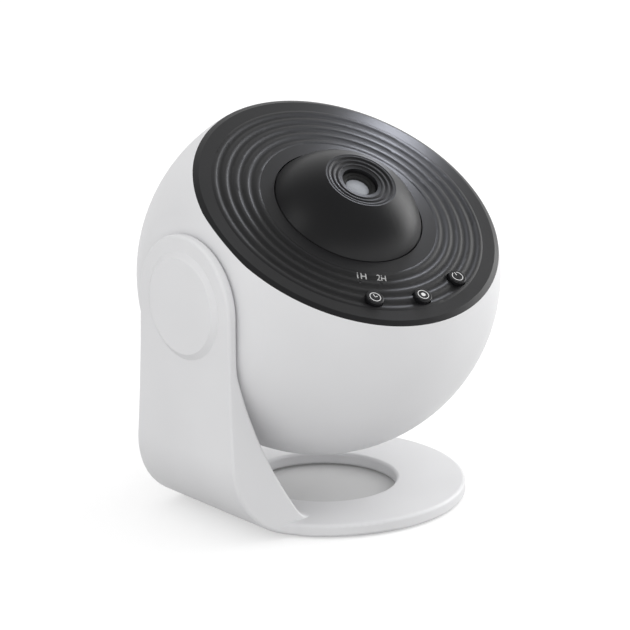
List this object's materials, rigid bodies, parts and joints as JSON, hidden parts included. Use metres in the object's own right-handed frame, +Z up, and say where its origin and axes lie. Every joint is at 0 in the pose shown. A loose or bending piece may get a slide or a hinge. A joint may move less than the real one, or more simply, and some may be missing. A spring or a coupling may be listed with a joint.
{
  "type": "planetarium projector",
  "caption": "Table-top star projector: a ball-shaped head with a rippled front panel and a focusing lens dome, tilting on a one-armed stand with a ring base.",
  "frame": {"origin": "on the table under the middle of the ball, level with the underside of the base pad", "axes": "+Z up; the stand's arm is at -X; the front panel leans towards -Y, so -Y is the front"},
  "size_m": [0.133, 0.1348, 0.1438],
  "materials": {
    "white_shell": "satin moulded plastic",
    "black_panel": "matt moulded plastic",
    "button_caps": "glossy moulded plastic",
    "black_inner": "matt moulded plastic",
    "clear_optics": "polished",
    "star_film": "printed film",
    "disc_plastic": "moulded",
    "gear_plastic": "moulded acetal",
    "foot_rubber": "matt",
    "steel": "zinc plated",
    "motor_metal": "drawn can",
    "aluminium": "extruded",
    "circuit_board": "solder mask",
    "board_parts": "moulded",
    "switch_plunger": "moulded",
    "led_resin": "clear resin"
  },
  "bodies": {
    "stand": {"stand_bracket": "white_shell", "base_pad": "foot_rubber", "friction_washer": "gear_plastic", "spring_washer": "steel", "hub_cap": "white_shell"},
    "head": {"body_shell": "white_shell", "button_board": "circuit_board", "button_board_screws": "steel", "condenser_lens": "clear_optics", "condenser_ring": "steel", "deck_screws": "steel", "drive_motor": "motor_metal", "heat_sink": "aluminium", "heat_sink_screws": "steel", "indicator_leds": "led_resin", "indicator_light_pipes": "led_resin", "lamp_house": "black_inner", "lamp_screws": "steel", "led_board": "aluminium", "led_emitter": "led_resin", "main_board": "circuit_board", "main_board_parts": "board_parts", "main_board_screws": "steel", "motor_screws": "steel", "optics_deck": "black_inner", "pivot_screw": "steel", "pivot_shaft": "steel", "pivot_shaft_screws": "steel", "pivot_washer": "steel", "power_board": "circuit_board", "tact_switches": "board_parts", "top_panel": "black_panel", "usb_socket": "steel"},
    "lens_unit": {"lens_collar": "black_panel"},
    "focus_ring": {"focus_dome": "black_panel", "focus_sleeve": "black_inner", "dome_screws": "steel", "sleeve_clip": "steel"},
    "barrel": {"lens_barrel": "black_inner", "focus_pins": "steel", "front_lens": "clear_optics", "front_lens_ring": "black_inner", "rear_lens": "clear_optics", "rear_lens_ring": "black_inner"},
    "disc_carrier": {"disc_gear": "gear_plastic", "star_disc_frame": "disc_plastic", "star_disc_film": "star_film"},
    "motor_pinion": {"drive_pinion": "gear_plastic", "motor_shaft": "steel"},
    "timer_key": {"timer_button": "button_caps", "timer_plunger": "switch_plunger"},
    "mode_key": {"mode_button": "button_caps", "mode_plunger": "switch_plunger"},
    "power_key": {"power_button": "button_caps", "power_plunger": "switch_plunger"}
  },
  "joints": [
    {"name": "head_tilt", "type": "hinge", "parent": "stand", "child": "head", "pos_m": [0, 0, 0.0862], "axis": [1, 0, 0], "continuous": true},
    {"name": "lens_unit_lift", "type": "slide", "parent": "head", "child": "lens_unit", "axis": [0, -0.5068, 0.8621], "range_m": [0, 0.018]},
    {"name": "focus_turn", "type": "hinge", "parent": "lens_unit", "child": "focus_ring", "pos_m": [0, 0, 0.0862], "axis": [0, -0.5068, 0.8621], "range_deg": [-45, 45]},
    {"name": "barrel_slide", "type": "slide", "parent": "lens_unit", "child": "barrel", "axis": [0, -0.5068, 0.8621], "range_m": [-0.00151, 0.00151]},
    {"name": "disc_turn", "type": "hinge", "parent": "head", "child": "disc_carrier", "pos_m": [0, 0, 0.0862], "axis": [0, -0.5068, 0.8621], "continuous": true},
    {"name": "pinion_turn", "type": "hinge", "parent": "head", "child": "motor_pinion", "pos_m": [0, 0.02565, 0.10128], "axis": [0, -0.5068, 0.8621], "continuous": true},
    {"name": "timer_press", "type": "slide", "parent": "head", "child": "timer_key", "axis": [0, 0.5068, -0.8621], "range_m": [0, 0.0006], "stiffness_N_per_m": 1500, "springref_m": -0.0004},
    {"name": "mode_press", "type": "slide", "parent": "head", "child": "mode_key", "axis": [0, 0.5068, -0.8621], "range_m": [0, 0.0006], "stiffness_N_per_m": 1500, "springref_m": -0.0004},
    {"name": "power_press", "type": "slide", "parent": "head", "child": "power_key", "axis": [0, 0.5068, -0.8621], "range_m": [0, 0.0006], "stiffness_N_per_m": 1500, "springref_m": -0.0004}
  ],
  "couplings": [
    {"joint": "barrel_slide", "follows": "focus_turn", "m_per_rad": -0.0019099},
    {"joint": "pinion_turn", "follows": "disc_turn", "ratio": -5.1667}
  ]
}
